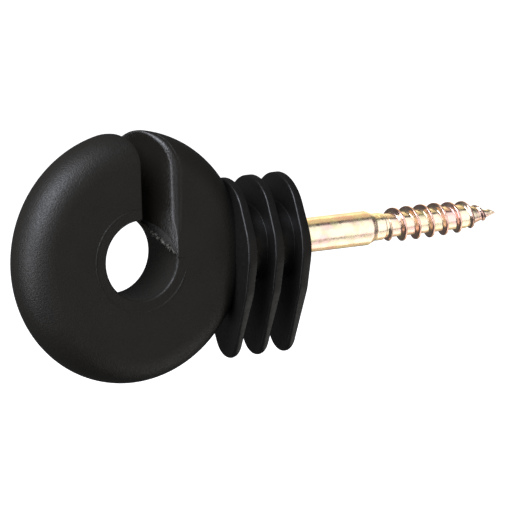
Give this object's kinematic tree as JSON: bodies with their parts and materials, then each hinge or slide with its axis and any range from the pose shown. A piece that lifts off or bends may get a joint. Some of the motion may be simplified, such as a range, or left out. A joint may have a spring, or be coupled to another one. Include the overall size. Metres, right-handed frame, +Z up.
{
  "type": "screw-in ring insulator",
  "caption": "Screw-in ring insulator for an electric fence: black polymer ring with a slanted wire slot and three drip sheds, moulded on a yellow zinc plated wood screw.",
  "frame": {"origin": "centre of the wire hole, halfway through the ring's thickness", "axes": "+X along the screw towards its tip, +Y along the wire hole, +Z up through the entry slot, away from the sheds' drip noses"},
  "size_m": [0.0954, 0.0186, 0.043],
  "materials": {
    "black_polymer": "satin moulded polyamide with a fine spark-eroded grain",
    "yellow_zinc_steel": "yellow chromated zinc plate, bright with a faint pink and green iridescence"
  },
  "bodies": {
    "root": {"insulator_body": "black_polymer", "wood_screw": "yellow_zinc_steel"}
  },
  "joints": []
}
